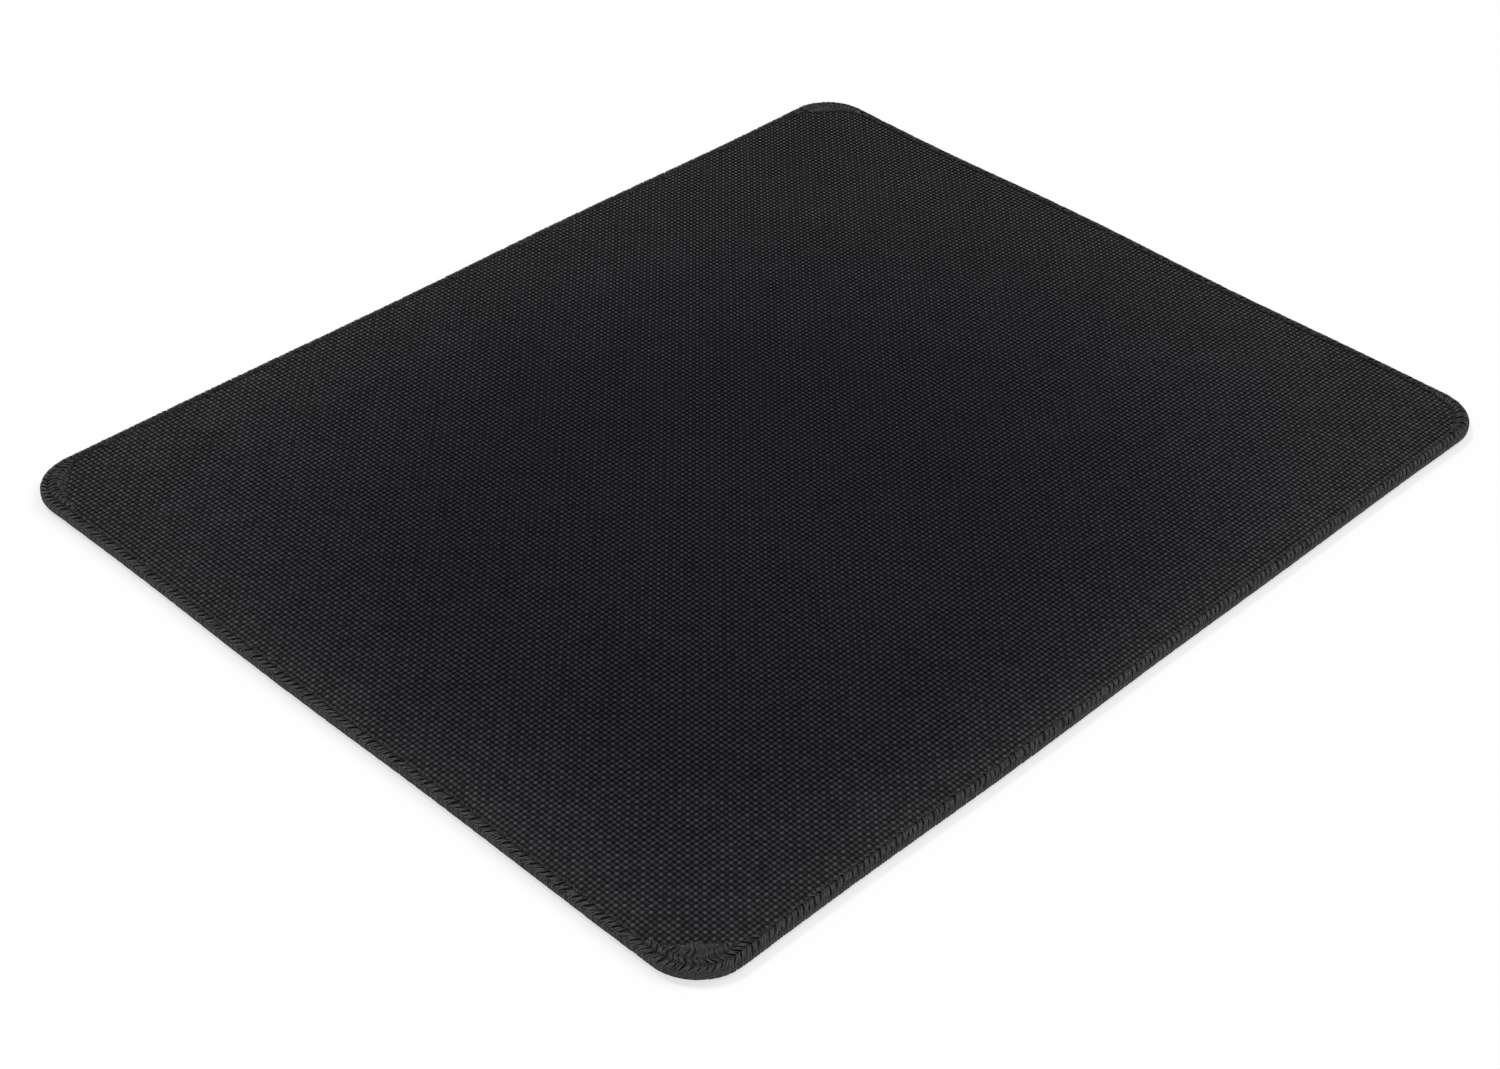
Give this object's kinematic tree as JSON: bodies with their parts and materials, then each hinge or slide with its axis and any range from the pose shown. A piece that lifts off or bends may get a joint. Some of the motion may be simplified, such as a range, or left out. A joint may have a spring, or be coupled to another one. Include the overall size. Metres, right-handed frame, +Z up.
{
  "type": "mouse pad",
  "caption": "Flat rectangular mouse pad with rounded corners: a woven cloth face bonded to a foam rubber base, with an overlock-stitched border round the whole edge.",
  "frame": {"origin": "middle of the underside, where the pad rests on a desk", "axes": "+Z up out of the cloth face, +Y along the long side, +X along the short side"},
  "size_m": [0.21, 0.26, 0.003],
  "materials": {
    "foam_rubber": "matte",
    "bonding_film": "satin",
    "woven_cloth": "matte",
    "looper_thread": "satin",
    "needle_thread": "satin"
  },
  "bodies": {
    "root": {"foam_rubber_base": "foam_rubber", "bonding_film": "bonding_film", "woven_cloth_face": "woven_cloth", "upper_looper_thread": "looper_thread", "lower_looper_thread": "looper_thread", "needle_thread": "needle_thread"}
  },
  "joints": []
}
